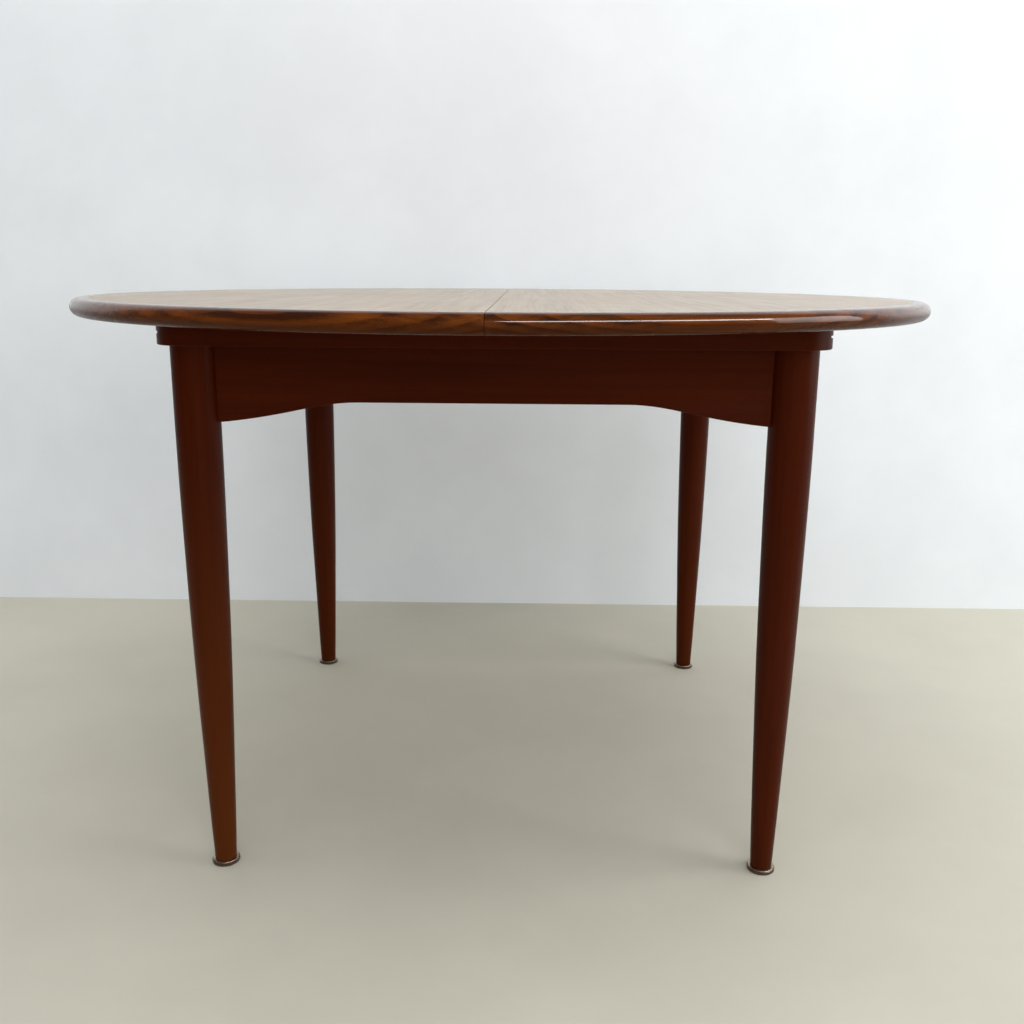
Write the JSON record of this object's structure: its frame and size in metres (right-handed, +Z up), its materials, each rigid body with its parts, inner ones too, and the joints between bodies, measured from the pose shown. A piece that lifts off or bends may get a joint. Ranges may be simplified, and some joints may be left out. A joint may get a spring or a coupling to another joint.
{
  "type": "extending dining table",
  "caption": "Round dining table on turned tapered legs; the top is split across the middle and its halves slide apart for an inserted leaf.",
  "frame": {"origin": "on the floor under the centre of the closed top", "axes": "+Z up, X across the seam in the direction the halves slide, +X to the right half, -Y to the front"},
  "size_m": [1.2, 1.2, 0.73],
  "materials": {
    "teak_veneer": "satin oiled teak veneer",
    "teak_edge": "satin oiled solid teak",
    "teak_frame": "satin lacquered dark teak",
    "beech_inner": "bare beech",
    "dark_foot": "dark turned foot disc",
    "steel_hardware": "zinc plated steel",
    "brass_hardware": "worn brass",
    "beech_peg": "smooth beech dowel"
  },
  "bodies": {
    "frame": {"apron_back": "teak_frame", "apron_front": "teak_frame", "apron_left": "teak_frame", "apron_right": "teak_frame", "bolt_nuts": "steel_hardware", "bolt_washers": "steel_hardware", "corner_block_back_left": "beech_inner", "corner_block_back_right": "beech_inner", "corner_block_front_left": "beech_inner", "corner_block_front_right": "beech_inner", "foot_disc_back_left": "dark_foot", "foot_disc_back_right": "dark_foot", "foot_disc_front_left": "dark_foot", "foot_disc_front_right": "dark_foot", "foot_washers": "brass_hardware", "glide_pins": "steel_hardware", "leg_back_left": "teak_frame", "leg_back_right": "teak_frame", "leg_bolts": "steel_hardware", "leg_front_left": "teak_frame", "leg_front_right": "teak_frame", "rail_board_back": "teak_frame", "rail_board_front": "teak_frame", "rail_screws": "steel_hardware", "stop_block_back_left": "beech_inner", "stop_block_back_right": "beech_inner", "stop_block_front_left": "beech_inner", "stop_block_front_right": "beech_inner", "stop_screws": "steel_hardware", "stretcher": "beech_inner"},
    "left_half": {"plate_screws_left": "steel_hardware", "runner_back_left": "beech_inner", "runner_front_left": "beech_inner", "runner_screws_left": "steel_hardware", "slide_strip_back_left": "steel_hardware", "slide_strip_front_left": "steel_hardware", "stop_pins_left": "beech_peg", "top_lipping_left": "teak_edge", "top_panel_left": "teak_veneer", "keeper_front": "brass_hardware", "keeper_back": "brass_hardware", "seam_pegs": "beech_peg"},
    "right_half": {"plate_screws_right": "steel_hardware", "runner_back_right": "beech_inner", "runner_front_right": "beech_inner", "runner_screws_right": "steel_hardware", "slide_strip_back_right": "steel_hardware", "slide_strip_front_right": "steel_hardware", "stop_pins_right": "beech_peg", "top_lipping_right": "teak_edge", "top_panel_right": "teak_veneer", "catch_plate_front": "brass_hardware", "catch_plate_back": "brass_hardware", "catch_pivot_screws": "brass_hardware"},
    "front_catch": {"catch_lever_front": "brass_hardware"},
    "back_catch": {"catch_lever_back": "brass_hardware"}
  },
  "joints": [
    {"name": "left_half_slide", "type": "slide", "parent": "frame", "child": "left_half", "axis": [-1, 0, 0], "range_m": [0, 0.225]},
    {"name": "right_half_slide", "type": "slide", "parent": "frame", "child": "right_half", "axis": [1, 0, 0], "range_m": [0, 0.225]},
    {"name": "front_catch_turn", "type": "hinge", "parent": "right_half", "child": "front_catch", "pos_m": [0.025, -0.18, 0.703], "axis": [0, 0, 1], "range_deg": [0, 90]},
    {"name": "back_catch_turn", "type": "hinge", "parent": "right_half", "child": "back_catch", "pos_m": [0.025, 0.18, 0.703], "axis": [0, 0, 1], "range_deg": [0, 90]}
  ]
}
